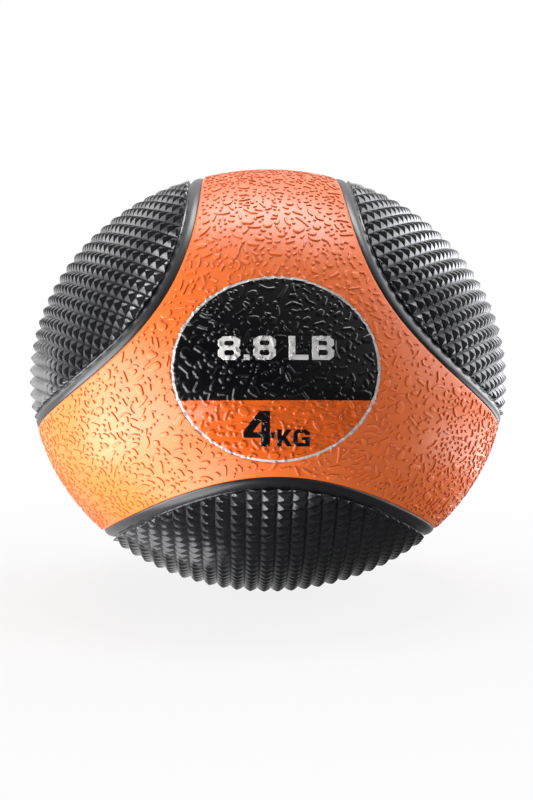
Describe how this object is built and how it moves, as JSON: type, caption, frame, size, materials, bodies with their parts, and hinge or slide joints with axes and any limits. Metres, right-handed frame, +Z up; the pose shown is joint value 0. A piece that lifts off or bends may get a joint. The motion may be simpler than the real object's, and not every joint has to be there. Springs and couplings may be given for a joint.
{
  "type": "medicine ball",
  "caption": "Rubber medicine ball with an orange raindrop-relief cover, oval black pyramid-tread grip pads, a printed weight mark and a needle valve.",
  "frame": {"origin": "on the floor, straight under the ball's centre, where the bottom grip pad's tread rests", "axes": "+Z up, along the ball's short axis; -Y towards the front, where the print faces; +X to the right seen from the front"},
  "size_m": [0.2314, 0.2299, 0.2051],
  "materials": {
    "bladder_rubber": "matt butyl",
    "winding_thread": "rubberised nylon thread",
    "weight_rubber": "matt, mineral filled",
    "cover_orange": "satin, moulded raindrop relief",
    "grip_black": "satin, moulded pyramid tread",
    "band_black": "smooth satin",
    "ink_white": "flexible print ink",
    "ink_black": "glossy print ink",
    "ink_orange": "glossy print ink",
    "valve_rubber": "soft matt rubber"
  },
  "bodies": {
    "root": {"bladder": "bladder_rubber", "winding": "winding_thread", "weight_shell_lower": "weight_rubber", "weight_shell_upper": "weight_rubber", "cover_panel_front": "cover_orange", "cover_panel_rear": "cover_orange", "grip_pad_right": "grip_black", "grip_pad_left": "grip_black", "grip_pad_bottom": "grip_black", "edge_band_right": "band_black", "edge_band_left": "band_black", "edge_band_bottom": "band_black", "print_ring": "ink_white", "print_black_field": "ink_black", "print_orange_field": "ink_orange", "print_kilograms": "ink_black", "print_pounds": "ink_white", "valve_boot": "valve_rubber", "valve_core": "valve_rubber"}
  },
  "joints": []
}
